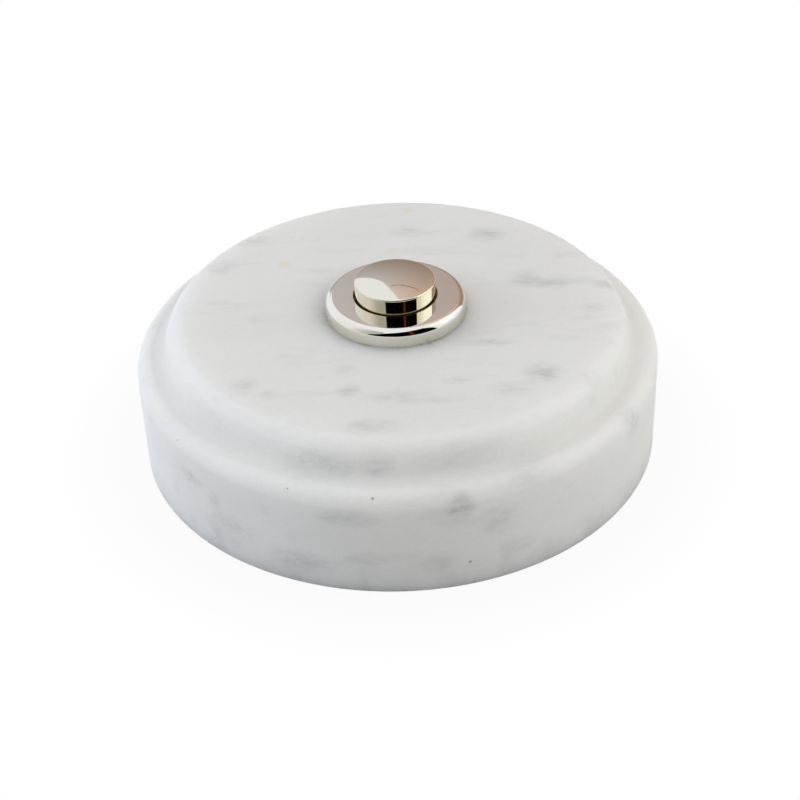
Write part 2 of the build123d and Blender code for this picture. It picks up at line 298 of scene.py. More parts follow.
class StageSettings(bpy.types.PropertyGroup):
    """Camera, lamps and floor."""

    lens: FloatProperty(name="Lens", description="Focal length of the camera", default=78.1, unit="CAMERA")
    distance: length("Distance", "From the camera to the point it looks at", 309.0)
    aim_x: length("Aim across", "Sideways place of the point that the camera looks at", 0.14)
    aim_z: length("Aim height", "Height of the point that the camera looks at", 5.7)
    elevation: angle("Elevation", "Height of the camera above the horizon", 35.45)
    roll: angle("Roll", "Turn of the camera about its own line of sight", -2.13)
    floor_size: length("Floor size", "Breadth of the floor", 8000.0)
    floor: tint("Floor", "Colour of the floor", (0.45, 0.45, 0.45))
    shadow: share("Shadow", "How much of the object's shadow the floor shows", 0.06)
    shadow_reach: length("Shadow reach", "How far from the object the floor shows its shadow", 20.0)
    ambient: share("Ambient", "Light from all round", 0.47)
    left_place: position("Left place", "Where the left lamp hangs", (-1.0, 0.0, 0.25))
    left_size: length("Left size", "Breadth of the left lamp", 500.0)
    left_power: power("Left lamp", "Power of the left lamp", 5.2)
    right_place: position("Right place", "Where the right lamp hangs", (0.9, 0.0, 0.5))
    right_size: length("Right size", "Breadth of the right lamp", 600.0)
    right_power: power("Right lamp", "Power of the right lamp", 2.5)
    front_place: position("Front place", "Where the front lamp hangs", (0.65, -0.65, 0.7))
    front_size: length("Front size", "Breadth of the front lamp", 600.0)
    front_power: power("Front lamp", "Power of the front lamp", 3.1)
    back_place: position("Back place", "Where the back lamp hangs", (-0.65, 0.65, 0.6))
    back_size: length("Back size", "Breadth of the back lamp", 600.0)
    back_power: power("Back lamp", "Power of the back lamp", 1.45)
    cool: tint("Cool", "Colour of the left lamp", (0.845, 0.893, 1.0))
    warm: tint("Warm", "Colour of the right and front lamps", (1.0, 0.98, 0.93))
    neutral: tint("Neutral", "Colour of the back lamp", (1.0, 1.0, 1.0))


class BellPushSettings(bpy.types.PropertyGroup):
    """All the settings of the bell push."""

    stone: PointerProperty(type=StoneSettings, name="Stone", description="The turned stone")
    bezel: PointerProperty(type=BezelSettings, name="Bezel", description="The polished bezel")
    button: PointerProperty(type=ButtonSettings, name="Button", description="The polished button")
    works: PointerProperty(type=WorksSettings, name="Works", description="The pieces behind the stone")
    stage: PointerProperty(type=StageSettings, name="Stage", description="Camera, lamps and floor")


def each_axis(value):
    """A value for each axis, from three values or from one for all."""
    return value if isinstance(value, tuple) else (value,) * 3


class Wire:
    """A shader socket. Arithmetic on it adds Math nodes, and node() adds any other kind."""

    def __init__(self, tree, socket=None):
        self.tree = tree
        self.socket = socket

    def node(self, kind, settings=None, sockets=None, output=0):
        """Adds a node, sets it up, fills or links its inputs, and gives one of its outputs."""
        made = self.tree.nodes.new(kind)
        for key, value in (settings or {}).items():
            if key == "stops":
                self.set_stops(made.color_ramp.elements, value)
            else:
                setattr(made, key, value)
        for key, value in (sockets or {}).items():
            if isinstance(value, Wire):
                self.tree.links.new(value.socket, made.inputs[key])
            elif made.inputs[key].type == "RGBA":
                made.inputs[key].default_value = (*value[:3], 1.0)
            else:
                made.inputs[key].default_value = value
        return Wire(self.tree, made.outputs[output]) if made.outputs else None

    @staticmethod
    def set_stops(elements, stops):
        """Gives a colour ramp its stops, each a place and a colour."""
        while len(elements) < len(stops):
            elements.new(1.0)
        for element, (place, colour) in zip(elements, stops):
            element.position = place
            element.color = (*colour, 1.0)

    def math(self, operation, *others):
        """A Math node on this value and others."""
        return self.node("ShaderNodeMath", {"operation": operation}, dict(enumerate((self, *others))))

    def vector(self, operation, *others, output="Vector"):
        """A Vector Math node on this place or colour and others."""
        sockets = dict(enumerate((self, *others)))
        return self.node("ShaderNodeVectorMath", {"operation": operation}, sockets, output)

    def __add__(self, other):
        return self.math("ADD", other)

    def __radd__(self, other):
        return self + other

    def __sub__(self, other):
        return self.math("SUBTRACT", other)

    def __rsub__(self, other):
        return self * -1.0 + other

    def __mul__(self, other):
        return self.math("MULTIPLY", other)

    def __rmul__(self, other):
        return self * other

    def __truediv__(self, other):
        return self.math("DIVIDE", other)

    def part(self, axis):
        """One of the three parts of a place."""
        return self.node("ShaderNodeSeparateXYZ", None, {0: self}, axis)

    def out(self):
        """How far a place lies from the upright axis."""
        x, y = self.part("X"), self.part("Y")
        return (x * x + y * y).math("SQRT")

    def ramp(self, start, end, first=0.0, last=1.0):
        """Eases from first to last as the value goes from start to end."""
        values = {"Value": self, "From Min": start, "From Max": end, "To Min": first, "To Max": last}
        return self.node("ShaderNodeMapRange", {"interpolation_type": "SMOOTHSTEP"}, values)

    def between(self, first, last):
        """Mixes two colours by this value."""
        return self.node("ShaderNodeMix", {"data_type": "RGBA"}, {0: self, 6: first, 7: last}, 2)

    def spot(self, centre, reach, full, gone, strength=1.0):
        """A soft spot. Full and gone are shares of its reach, which is given for all axes or for each."""
        offset = self.vector("SUBTRACT", centre)
        distance = offset.vector("DIVIDE", each_axis(reach)).vector("LENGTH", output="Value")
        return distance.ramp(full, gone, strength, 0.0)

    def noise(self, scale, detail=2.0, roughness=0.5, output=0):
        """Noise over this place. Scale is waves to the millimetre, for all axes or for each."""
        place = self.vector("MULTIPLY", each_axis(scale))
        values = {"Vector": place, "Scale": 1.0, "Detail": detail, "Roughness": roughness}
        return self.node("ShaderNodeTexNoise", None, values, output)

    def shifted(self, scale, span):
        """This place pushed about by noise, over a span in millimetres."""
        push = self.noise(scale, output=1).vector("SUBTRACT", each_axis(0.5))
        return self.vector("ADD", push.vector("MULTIPLY", each_axis(span)))


def new_material(name):
    """A material with no nodes, and the place on the surface in millimetres."""
    material = bpy.data.materials.new(f"{name}_finish")
    material.use_nodes = True
    material.node_tree.nodes.clear()
    tree = Wire(material.node_tree)
    place = tree.node("ShaderNodeTexCoord", output="Object").vector("MULTIPLY", each_axis(1 / MM))
    return material, place


def surface(place, sockets, height, strength, depth):
    """Ends a material in one shader, with a bump whose depth is given in millimetres."""
    values = {"Height": height, "Strength": strength, "Distance": depth * MM}
    sockets["Normal"] = place.node("ShaderNodeBump", None, values)
    shader = place.node("ShaderNodeBsdfPrincipled", None, sockets)
    place.node("ShaderNodeOutputMaterial", None, {"Surface": shader})


def beside(bearing, out, up):
    """A place round the stone's side, by degrees round from the front."""
    turn = math.radians(bearing)
    return out * math.sin(turn), -out * math.cos(turn), up


def smudges(place, bent, top):
    """Soft grey smudges on the top and round the side, broken up by a mottle."""
    full, gone = 0.0, 1.6
    spots = []
    for x, y, across, along, grey in TOP_SMUDGES:
        spots.append(bent.spot((x, y, top), (across, along, across), full, gone, grey))
    for bearing, out, up, across, tall, grey in SIDE_SMUDGES:
        spots.append(bent.spot(beside(bearing, out, up), (across, across, tall), full, gone, grey))
    mottle = place.shifted(0.5, 0.9).noise((0.4, 1.2, 1.2))
    return sum(spots) * mottle.ramp(0.3, 0.7, first=0.45, last=1.35)


def painted_foot_shade(place):
    """Painted shade towards the foot: uneven grey patches that fade out upwards."""
    reach = 8.0
    patches = place.noise((0.2, 0.2, 0.12), detail=3.0)
    return place.part("Z").ramp(0.0, reach, 1.0, 0.0) * patches.ramp(0.35, 0.7, first=0.10, last=0.34)


def shaded_foot_chips(place, speck):
    """Small chip marks along the foot's outer edge, dented and darkened with painted shade."""
    edge = radius_of("marble_base") / MM
    height, depth = 1.4, 2.0
    low = place.part("Z").ramp(0.2, height, first=0.6, last=0.0)
    outside = place.out().ramp(edge - depth, edge - 0.5)
    # Painted shade in the chip marks, strongest at the bottom edge
    return speck.ramp(0.62, 0.7) * low * outside


def flange_dirt(place, speck, top):
    """Specks of grey caught here and there round the flange."""
    flange = radius_of("bezel") / MM
    ring = place.spot((0.0, 0.0, top), (flange, flange, 1.0), full=1.0, gone=1.2, strength=0.4)
    return speck.ramp(0.5, 0.7) * ring * place.noise(0.12, detail=1.0).ramp(0.4, 0.6)


def marble(name):
    """Honed white stone with soft grey smudges, faint streaks, pits and a few rust marks, and painted shade
    towards the foot, in the pits and on the chipped foot edge.
    """
    look = bpy.context.scene.bell_push.stone
    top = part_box("marble_base")[1].z / MM
    material, place = new_material(name)
    bent = place.shifted(0.22, 1.8)
    streak = place.shifted(0.12, 3.0).noise((0.06, 0.26, 0.26)).ramp(0.55, 0.8, last=look.streaks)
    cloud = place.noise((0.035, 0.06, 0.06)).ramp(0.3, 0.75, last=look.clouds)
    cells = place.node("ShaderNodeTexVoronoi", None, {"Vector": place, "Scale": 2.2}, "Color")
    crystal = cells.part("X") * look.crystals
    grain = place.noise(1.7, detail=3.0, roughness=0.6)
    speck = place.noise(1.3)
    chip_dents_and_shade = shaded_foot_chips(place, speck)
    # Painted shade at the foot, added to the real grey specks round the flange
    foot_shade_and_flange_dirt = painted_foot_shade(place) + flange_dirt(place, speck, top)
    # Painted shade in the open pits, which the bump also dents
    pit_dents_and_shade = sum(place.spot(beside(*where), radius, full=0.4, gone=1.0) for *where, radius in PITS)
    stain = sum(bent.spot((x, y, top), radius, full=0.1, gone=1.2, strength=0.5) for x, y, radius in STAINS)
    # Real marks of the stone together with the painted shade at the foot, in the pits and on the chipped foot
    # edge
    grey = smudges(place, bent, top) + streak + cloud + crystal + foot_shade_and_flange_dirt + chip_dents_and_shade + pit_dents_and_shade
    surface(
        place,
        {
            "Base Color": grey.between(stain.between(look.ground, look.stain), look.vein),
            "Roughness": look.roughness + (grain - 0.5) * 0.2,
            "IOR": 1.5,
            "Subsurface Weight": look.translucency,
            "Subsurface Radius": (1.0, 0.95, 0.9),
            "Subsurface Scale": look.scatter,
        },
        height=grain - pit_dents_and_shade * 3.0 - chip_dents_and_shade,
        strength=0.12,
        depth=0.05,
    )
    return material


def polished_nickel(place, plate, bare=0.0):
    """Bright plate with faint cloudiness and hairline polishing marks, dull where it is bare."""
    mirror, clouded, scratched, dull = 0.02, 0.03, 0.02, 0.35
    cloud = place.noise(0.5) * clouded
    hairline = place.noise((9.0, 0.6, 0.6))
    surface(
        place,
        {
            "Base Color": plate,
            "Metallic": 1.0,
            "Roughness": mirror + cloud + hairline.ramp(0.55, 0.8, last=scratched) + bare * dull,
        },
        height=hairline,
        strength=0.02,
        depth=0.002,
    )


def uneven(place):
    """Faint unevenness of a plated colour."""
    return place.noise(0.5) * 0.1


def bezel_nickel(name):
    """Plate tinted yellow towards the flange's foot as a painted warm reflection, and left as bare brass in
    the bore.
    """
    look = bpy.context.scene.bell_push.bezel
    material, place = new_material(name)
    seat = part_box("marble_base")[1].z / MM
    bore = bore_of("bezel") / MM
    yellow, bright = seat + 1.2, seat + 2.4
    # Painted warm reflection, full low on the flange's wall and gone higher up
    foot = place.part("Z").ramp(yellow, bright, 1.0, 0.0) + uneven(place)
    unplated, plated = bore + 0.05, bore + 0.15
    bare = place.out().ramp(unplated, plated, 1.0, 0.0)
    polished_nickel(place, bare.between(foot.between(look.plate, look.painted_foot_reflection), look.bare), bare)
    return material


def button_nickel():
    """Plate that is yellower on the button's side than on its crown."""
    look = bpy.context.scene.bell_push.button
    material, place = new_material("button_nickel")
    crown = (bore_of("bezel") - look.lip_clearance) / MM
    blend = 0.2
    side = place.out().ramp(crown - blend, crown) + uneven(place)
    polished_nickel(place, side.between(look.plate, look.side_plate))
    return material


def turned_metal(name, bright, dull, roughness):
    """Bare metal with fine turning lines round its axis and dull patches of handling."""
    material, place = new_material(name)
    patch = place.noise(0.35, detail=3.0)
    line = place.noise((0.3, 0.3, 14.0))
    surface(
        place,
        {
            "Base Color": (patch.ramp(0.35, 0.7, last=0.7) + line * 0.3).between(bright, dull),
            "Metallic": 1.0,
            "Roughness": roughness + (patch - 0.5) * 0.2 + (line - 0.5) * 0.1,
        },
        height=line,
        strength=0.08,
        depth=0.01,
    )
    return material


def moulded(name, light, dark, roughness, fibre=1.0):
    """A moulded or pressed material: mottled colour, a fine skin and, if it has any, fibres along X."""
    material, place = new_material(name)
    mottle = place.shifted(0.6, 1.2).noise((0.4 / fibre, 0.4 * fibre, 0.8), detail=4.0, roughness=0.6)
    skin = place.noise(6.0)
    surface(
        place,
        {
            "Base Color": mottle.ramp(0.3, 0.7).between(light, dark),
            "Roughness": roughness + (skin - 0.5) * 0.25,
        },
        height=mottle * 0.5 + skin,
        strength=0.15,
        depth=0.03,
    )
    return material


# What makes the finish of each material slot
FINISHES = {
    "marble": marble,
    "nickel": bezel_nickel,
    "brass": partial(turned_metal, bright=(0.86, 0.66, 0.32), dull=(0.62, 0.44, 0.19), roughness=0.26),
    "zinc_steel": partial(turned_metal, bright=(0.70, 0.72, 0.75), dull=(0.56, 0.58, 0.60), roughness=0.32),
    "spring_steel": partial(turned_metal, bright=(0.36, 0.36, 0.38), dull=(0.2, 0.19, 0.19), roughness=0.34),
    "phenolic": partial(moulded, light=(0.055, 0.032, 0.022), dark=(0.022, 0.014, 0.011), roughness=0.34),
    "nylon": partial(moulded, light=(0.80, 0.79, 0.73), dark=(0.72, 0.70, 0.63), roughness=0.45),
    "fibre": partial(moulded, light=(0.36, 0.10, 0.06), dark=(0.24, 0.06, 0.04), roughness=0.62, fibre=3.0),
    "black_rubber": partial(moulded, light=(0.03, 0.03, 0.031), dark=(0.018,) * 3, roughness=0.66),
}
NODE_SLOTS = {row["node"]: row["material_slot"] for row in frame["record"]["subparts"]}


def finish_of(node):
    """The material of a node's slot, made when it is first asked for."""
    slot = NODE_SLOTS[node]
    return bpy.data.materials.get(f"{slot}_finish") or FINISHES[slot](slot)


def deselect():
    """Leaves edit mode and deselects every object."""
    if bpy.context.mode != "OBJECT":
        bpy.ops.object.mode_set(mode="OBJECT")
    bpy.ops.object.select_all(action="DESELECT")


def choose(piece):
    """Makes a piece the only selected and the active object."""
    deselect()
    piece.select_set(True)
    bpy.context.view_layer.objects.active = piece


def added(name):
    """Names the object that was just added and puts its place in its mesh."""
    piece = bpy.context.object
    piece.name = name
    piece.data.name = name
    bpy.ops.object.transform_apply(location=True, rotation=True, scale=True)
    return piece


def extrude_up(rise):
    """Extrudes what is selected along the upright axis."""
    bpy.ops.mesh.extrude_region_move(TRANSFORM_OT_translate={"value": (0, 0, rise)})


def pick_edges(piece, wanted):
    """Selects the edges that pass a test, and no others, on a piece in edit mode."""
    bpy.ops.mesh.select_all(action="DESELECT")
    mesh = bmesh.from_edit_mesh(piece.data)
    edges = [edge for edge in mesh.edges if wanted(edge)]
    if not edges:
        raise RuntimeError(f"{piece.name} has none of the edges that were asked for")
    for edge in edges:
        edge.select_set(True)
    bmesh.update_edit_mesh(piece.data)


def face_outwards():
    """Turns the faces of the piece in edit mode outwards and leaves edit mode."""
    bpy.ops.mesh.select_all(action="SELECT")
    bpy.ops.mesh.normals_make_consistent(inside=False)
    bpy.ops.object.mode_set(mode="OBJECT")


def bore_of(node):
    """Smallest radius of a turned node about its own axis."""
    low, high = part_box(node)
    axis = (low + high) / 2
    return min(math.hypot(v.co.x - axis.x, v.co.y - axis.y) for v in frame["nodes"][node].data.vertices)


def radius_of(node):
    """Outer radius of a turned node."""
    low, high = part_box(node)
    return (high.y - low.y) / 2


def centre_of(node):
    """Where a turned node's axis stands."""
    low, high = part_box(node)
    return (low.x + high.x) / 2, (low.y + high.y) / 2


class Lathe:
    """Turns a piece ring by ring in edit mode, from a first ring through the corners of its profile."""

    def __init__(self, name, radius, height, segments, centre=(0.0, 0.0)):
        deselect()
        bpy.ops.mesh.primitive_circle_add(vertices=segments, radius=radius, location=(*centre, height))
        self.piece = added(name)
        self.centre = centre
        self.start = radius, height
        self.radius, self.height = radius, height
        bpy.ops.object.mode_set(mode="EDIT")
        bpy.ops.mesh.select_mode(type="EDGE")
        bpy.ops.mesh.select_all(action="SELECT")

    def to(self, radius, height):
        """Extrudes the last ring to a new radius and height."""
        growth = radius / self.radius
        extrude_up(height - self.height)
        bpy.ops.transform.resize(value=(growth, growth, 1), center_override=(*self.centre, height))
        self.radius, self.height = radius, height
        return self

    def through(self, *corners):
        """Extrudes the last ring through several corners, each a radius and a height."""
        for radius, height in corners:
            self.to(radius, height)
        return self

    def pole(self, height):
        """Closes the last ring in a point on the axis."""
        extrude_up(height - self.height)
        bpy.ops.mesh.merge(type="CENTER")
        return self

    def back_to_start(self):
        """Takes up the first ring again, to go on from it another way."""
        self.pick_ring(*self.start)
        self.radius, self.height = self.start
        return self

    def merge(self):
        """Makes points that meet one."""
        bpy.ops.mesh.select_all(action="SELECT")
        bpy.ops.mesh.remove_doubles(threshold=MERGE)
        return self

    def shut(self):
        """Brings the last ring back to the first and makes the two one."""
        return self.to(*self.start).merge()

    def lies_at(self, point, radius, height):
        """Tells whether a point is on the ring at a radius and height."""
        out = math.hypot(point.x - self.centre[0], point.y - self.centre[1])
        return abs(out - radius) < MERGE and abs(point.z - height) < MERGE

    def pick_ring(self, radius, height):
        """Selects the ring at a corner of the profile."""
        pick_edges(self.piece, lambda edge: all(self.lies_at(v.co, radius, height) for v in edge.verts))

    def round(self, radius, height, rounding, steps, turn=math.pi / 2):
        """Rounds the ring at a corner of the profile, where the profile turns by an angle."""
        self.pick_ring(radius, height)
        reach = rounding * math.tan(turn / 2)
        bpy.ops.mesh.bevel(offset=reach, offset_type="OFFSET", segments=steps, profile=0.5, affect="EDGES")
        return self

    def done(self):
        """Turns the faces outwards, leaves edit mode and gives the piece."""
        face_outwards()
        return self.piece


def combine(piece, tool, operation):
    """Cuts a piece with a tool, or keeps what they share, and removes the tool."""
    choose(piece)
    change = piece.modifiers.new(operation.lower(), "BOOLEAN")
    change.operation = operation
    change.solver = "EXACT"
    change.object = tool
    bpy.ops.object.modifier_apply(modifier=change.name)
    bpy.data.objects.remove(tool)


def dress(piece, node, sharp=TURNED_EDGES, finish=None):
    """Gives a finished piece its shading and material and puts it in its node's place."""
    choose(piece)
    bpy.ops.object.shade_smooth_by_angle(angle=math.radians(sharp))
    even = piece.modifiers.new("even", "WEIGHTED_NORMAL")
    even.keep_sharp = True
    bpy.ops.object.modifier_apply(modifier=even.name)
    piece.data.materials.clear()
    piece.data.materials.append(finish or finish_of(node))
    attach(piece, frame["nodes"][node]["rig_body"])
    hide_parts(node)


def dress_pair(piece, node, sharp):
    """Copies a left-hand piece, with its own mesh, to the right and dresses both."""
    (left_x, left_y), (right_x, right_y) = centre_of(f"{node}_left"), centre_of(f"{node}_right")
    choose(piece)
    bpy.ops.object.duplicate(linked=False)
    bpy.ops.transform.translate(value=(right_x - left_x, right_y - left_y, 0.0))
    other = added(piece.name.replace("left", "right"))
    dress(piece, f"{node}_left", sharp)
    dress(other, f"{node}_right", sharp)


class BELLPUSH_OT_turn_stone(bpy.types.Operator):
    """Turn the stepped marble base, bore it and drill it for the fixing inserts"""

    bl_idname = "bellpush.turn_stone"
    bl_label = "Turn the stone"

    def execute(self, context):
        stone = context.scene.bell_push.stone
        outer = radius_of("marble_base")
        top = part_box("marble_base")[1].z
        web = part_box("cushion_washer")[1].z
        bore = bore_of("marble_base")
        pocket = self.pocket_radius(web)
        ledge = top - stone.step_depth
        slope = stone.riser_slope
        cove = stone.cove_radius * math.tan(slope / 2)
        riser_foot = outer - stone.edge_radius - stone.ledge_width - cove
        riser_head = riser_foot - stone.step_depth / math.tan(slope)
        lathe = Lathe("turned_stone", pocket, 0.0, stone.segments)
        lathe.through(
            (outer - stone.foot_chamfer, 0.0),
            (outer, stone.foot_chamfer),
            (outer, ledge),
            (riser_foot, ledge),
            (riser_head, top),
            (bore, top),
            (bore, web),
            (pocket, web),
        )
        lathe.shut()
        lathe.round(outer, ledge, stone.edge_radius, stone.edge_steps)
        lathe.round(riser_foot, ledge, stone.cove_radius, stone.cove_steps, slope)
        lathe.round(riser_head, top, stone.top_radius, stone.top_steps, slope)
        lathe.round(outer, stone.foot_chamfer, stone.foot_chamfer, stone.foot_steps, math.pi / 4)
        piece = lathe.done()
        for side in ("left", "right"):
            insert = f"fixing_insert_{side}"
            radius = radius_of(insert) + stone.insert_fit
            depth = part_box(insert)[1].z + stone.insert_rest
            drill = Lathe("drill", radius, -stone.insert_rest, stone.insert_segments, centre_of(insert))
            drill.pole(-stone.insert_rest)
            drill.back_to_start().to(radius, depth).pole(depth)
            combine(piece, drill.done(), "DIFFERENCE")
        dress(piece, "marble_base")
        return {"FINISHED"}

    @staticmethod
    def pocket_radius(web):
        """Radius of the pocket's wall, the widest ring of the web's under face."""
        points = [v.co for v in frame["nodes"]["marble_base"].data.vertices]
        return max(math.hypot(p.x, p.y) for p in points if abs(p.z - web) < MERGE)


class BELLPUSH_OT_turn_bezel(bpy.types.Operator):
    """Turn the polished bezel with its lip, bores, clip groove, seal groove and threaded barrel"""

    bl_idname = "bellpush.turn_bezel"
    bl_label = "Turn the bezel"

    def execute(self, context):
        bezel = context.scene.bell_push.bezel
        low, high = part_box("bezel")
        lip = bore_of("bezel")
        flange = radius_of("bezel")
        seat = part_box("marble_base")[1].z
        slide = radius_of("button") + bezel.collar_clearance
        switch = radius_of("switch_cup") + bezel.cup_clearance
        barrel = bore_of("clamp_nut") - bezel.thread_clearance
        lip_height = high.z - bezel.lip_thickness
        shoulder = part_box("guide_plate")[1].z
        clip_low, clip_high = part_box("cup_circlip")
        groove = (clip_high.x - clip_low.x) / 2 + bezel.clip_play
        seal_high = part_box("bezel_seal")[1]
        seal_outer = seal_high.x + bezel.seal_clearance
        seal_inner = bore_of("bezel_seal") - bezel.seal_clearance
        lathe = Lathe("polished_bezel", lip, high.z, bezel.segments)
        lathe.through(
            (lip, lip_height),
            (slide, lip_height),
            (slide, shoulder),
            (switch, shoulder),
            (switch, clip_high.z),
            (groove, clip_high.z),
            (groove, clip_low.z - bezel.clip_play),
            (switch, clip_low.z - bezel.clip_play),
            (switch, low.z),
        )
        root = barrel - bezel.thread_depth
        lathe.to(root, low.z)
        turns = int((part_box("clamp_nut")[1].z - low.z) / bezel.thread_pitch)
        for turn in range(turns):
            foot = low.z + turn * bezel.thread_pitch
            lathe.to(barrel, foot + bezel.thread_pitch / 2)
            lathe.to(root, foot + bezel.thread_pitch)
        lathe.through(
            (barrel, lathe.height + bezel.thread_depth),
            (barrel, seat),
            (seal_inner, seat),
            (seal_inner, seal_high.z),
            (seal_outer, seal_high.z),
            (seal_outer, seat),
            (flange, seat),
            (flange, high.z - bezel.rim_height),
        )
        for step in range(1, bezel.rim_steps + 1):
            turn = math.pi / 2 * step / bezel.rim_steps
            inwards = bezel.rim_breadth * (1 - math.cos(turn))
            down = bezel.rim_height * (1 - math.sin(turn))
            lathe.to(flange - inwards, high.z - down)
        lathe.shut()
        lathe.round(lip, high.z, bezel.lip_rounding, bezel.lip_steps)
        dress(lathe.done(), "bezel")
        return {"FINISHED"}


class BELLPUSH_OT_turn_button(bpy.types.Operator):
    """Turn the domed button with its collar, spring pocket and socketed boss"""

    bl_idname = "bellpush.turn_button"
    bl_label = "Turn the button"

    def execute(self, context):
        button = context.scene.bell_push.button
        low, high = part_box("button")
        crown = bore_of("bezel") - button.lip_clearance
        collar = radius_of("button")
        rim = high.z - button.dome
        collar_top = low.z + button.collar_thickness
        ceiling = rim - button.crown_thickness
        pocket = crown - button.wall
        socket = radius_of("stem") + button.stem_fit
        boss = socket + button.boss_wall
        dome_radius = (crown**2 + button.dome**2) / (2 * button.dome)
        lathe = Lathe("polished_button", crown, rim, button.segments)
        for step in range(button.dome_rings - 1, 0, -1):
            out = crown * step / button.dome_rings
            lathe.to(out, high.z - dome_radius + math.sqrt(dome_radius**2 - out**2))
        lathe.pole(high.z)
        lathe.back_to_start()
        lathe.through(
            (crown, collar_top),
            (collar, collar_top),
            (collar, low.z),
            (pocket, low.z),
            (pocket, ceiling),
            (boss, ceiling),
            (boss, low.z),
            (socket, low.z),
            (socket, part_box("stem")[1].z),
        )
        lathe.pole(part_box("stem")[1].z)
        lean = math.asin(crown / dome_radius)
        lathe.round(crown, rim, button.rim_rounding, button.rim_steps, math.pi / 2 - lean)
        dress(lathe.done(), "button", finish=button_nickel())
        return {"FINISHED"}


class BELLPUSH_OT_wind_spring(bpy.types.Operator):
    """Wind the return spring from round wire and close its two ends"""

    bl_idname = "bellpush.wind_spring"
    bl_label = "Wind the spring"

    def execute(self, context):
        works = context.scene.bell_push.works
        low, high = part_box("return_spring")
        wire = works.spring_wire / 2
        radius = (high.x - low.x) / 2 - wire
        rise = high.z - low.z - works.spring_wire
        deselect()
        bpy.ops.mesh.primitive_circle_add(
            vertices=works.wire_segments,
            radius=wire,
            location=(radius, 0.0, low.z + wire),
            rotation=(math.pi / 2, 0.0, 0.0),
        )
        piece = added("wound_spring")
        coil = piece.modifiers.new("coil", "SCREW")
        coil.axis = "Z"
        coil.steps = works.spring_steps
        coil.render_steps = works.spring_steps
        coil.iterations = works.spring_turns
        coil.screw_offset = rise / works.spring_turns
        bpy.ops.object.modifier_apply(modifier=coil.name)
        bpy.ops.object.mode_set(mode="EDIT")
        pick_edges(piece, lambda edge: edge.is_boundary)
        bpy.ops.mesh.edge_face_add()
        face_outwards()
        dress(piece, "return_spring")
        press = next(joint for joint in frame["joints"] if joint["name"] == "button_press")
        travel = max(press["range_m"])
        keep = (high.z - low.z - travel) / (high.z - low.z)
        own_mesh(piece)
        return {"FINISHED"}


class BELLPUSH_OT_cut_nut(bpy.types.Operator):
    """Cut the hexagonal clamp nut, turn its corners down and bore it"""

    bl_idname = "bellpush.cut_nut"
    bl_label = "Cut the clamp nut"

    def execute(self, context):
        works = context.scene.bell_push.works
        low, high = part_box("clamp_nut")
        corner = (high.x - low.x) / 2
        flat = (high.y - low.y) / 2
        bore = bore_of("clamp_nut")
        outside = corner + works.nut_spare
        chamfer = (outside - flat) * math.tan(works.nut_chamfer)
        sides = 6
        deselect()
        bpy.ops.mesh.primitive_circle_add(
            vertices=sides,
            radius=corner,
            fill_type="NGON",
            location=(0.0, 0.0, low.z - works.nut_spare),
            rotation=(0.0, 0.0, math.pi / 2),
        )
        piece = added("hexagon_nut")
        bpy.ops.object.mode_set(mode="EDIT")
        bpy.ops.mesh.select_all(action="SELECT")
        extrude_up(high.z - low.z + 2 * works.nut_spare)
        face_outwards()
        envelope = Lathe("nut_envelope", bore, low.z, works.segments)
        envelope.through(
            (flat, low.z),
            (outside, low.z + chamfer),
            (outside, high.z - chamfer),
            (flat, high.z),
            (bore, high.z),
        )
        envelope.shut()
        combine(piece, envelope.done(), "INTERSECT")
        dress(piece, "clamp_nut", FACETED_EDGES)
        return {"FINISHED"}


class BELLPUSH_OT_press_washers(bpy.types.Operator):
    """Press the flat rings: seal, cushion, washers and contact bridge, each with broken edges"""

    bl_idname = "bellpush.press_washers"
    bl_label = "Press the washers"

    broken_edges = {
        "bezel_seal": 0.15 * MM,
        "cushion_washer": 0.08 * MM,
        "clamp_washer": 0.15 * MM,
        "contact_bridge": 0.08 * MM,
        "bridge_washer": 0.12 * MM,
        "terminal_washer_left": 0.1 * MM,
        "terminal_washer_right": 0.1 * MM,
    }

    def execute(self, context):
        works = context.scene.bell_push.works
        for node, edge in self.broken_edges.items():
            low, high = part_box(node)
            inner, outer = bore_of(node), radius_of(node)
            lathe = Lathe(f"pressed_{node}", inner, low.z, works.segments, centre_of(node))
            lathe.through((outer, low.z), (outer, high.z), (inner, high.z)).shut()
            for radius in (inner, outer):
                for height in (low.z, high.z):
                    lathe.round(radius, height, edge, works.edge_steps)
            dress(lathe.done(), node)
        return {"FINISHED"}


class BELLPUSH_OT_turn_terminals(bpy.types.Operator):
    """Turn the two terminal screws and slot their heads"""

    bl_idname = "bellpush.turn_terminals"
    bl_label = "Turn the terminal screws"

    def execute(self, context):
        works = context.scene.bell_push.works
        low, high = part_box("terminal_screw_left")
        centre = centre_of("terminal_screw_left")
        head = radius_of("terminal_screw_left")
        shank = works.shank_diameter / 2
        under = low.z + works.head_height
        lathe = Lathe("slotted_screw_left", head, low.z, works.segments, centre)
        lathe.through((head, under), (shank, under), (shank, high.z)).pole(high.z)
        lathe.back_to_start().pole(low.z)
        lathe.round(head, low.z, works.head_rounding, works.head_steps)
        lathe.round(shank, high.z, works.head_rounding, works.edge_steps)
        piece = lathe.done()
        deselect()
        bpy.ops.mesh.primitive_cube_add(size=1.0, location=(*centre, low.z))
        blade = bpy.context.object
        blade.scale = (4 * head, works.slot_width, 2 * works.slot_depth)
        combine(piece, added("slot_blade"), "DIFFERENCE")
        dress_pair(piece, "terminal_screw", SLOTTED_EDGES)
        return {"FINISHED"}


